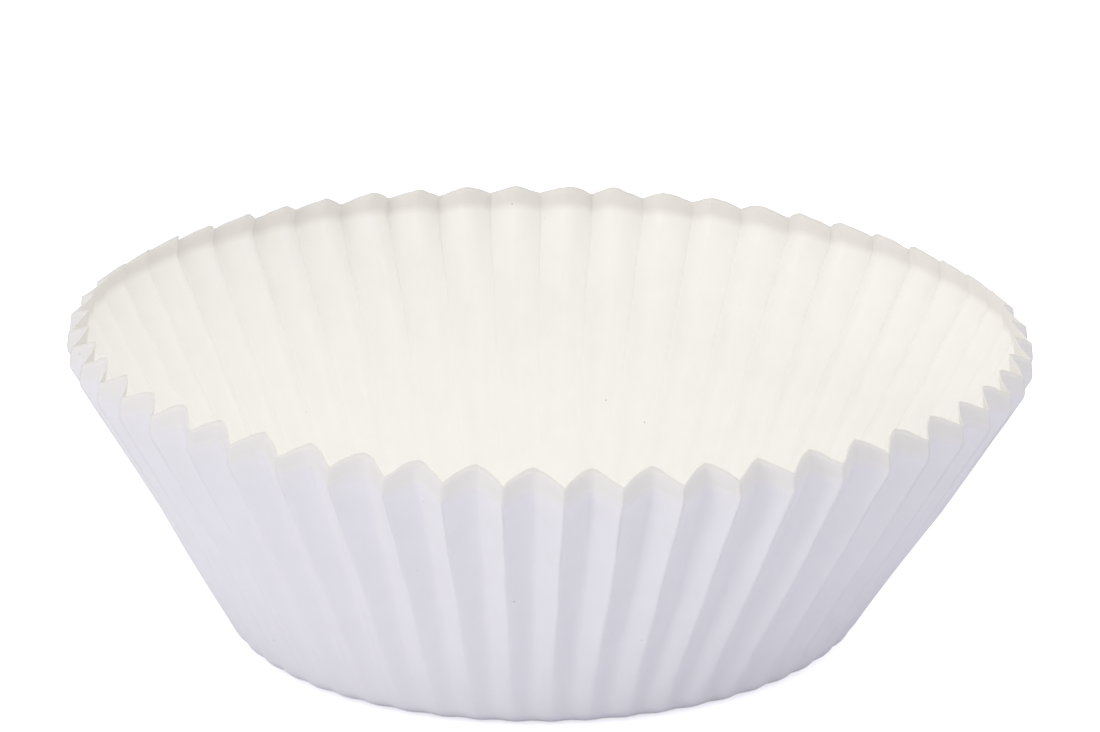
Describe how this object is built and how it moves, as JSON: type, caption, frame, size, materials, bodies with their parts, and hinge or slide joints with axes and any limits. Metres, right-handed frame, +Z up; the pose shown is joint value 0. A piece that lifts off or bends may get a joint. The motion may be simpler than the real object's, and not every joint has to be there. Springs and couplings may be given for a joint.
{
  "type": "paper baking cup",
  "caption": "Round fluted baking cup pressed from one disc of white greaseproof paper, with a flat floor, flared pleated wall and upright creased rim band.",
  "frame": {"origin": "middle of the floor's underside, on the surface the cup stands on", "axes": "+Z up along the cup's axis, out of its mouth; one outer fold faces -Y"},
  "size_m": [0.0774, 0.0774, 0.0253],
  "materials": {
    "greaseproof_paper": "matte white greaseproof paper, slightly calendered"
  },
  "bodies": {
    "root": {"paper_cup": "greaseproof_paper"}
  },
  "joints": []
}
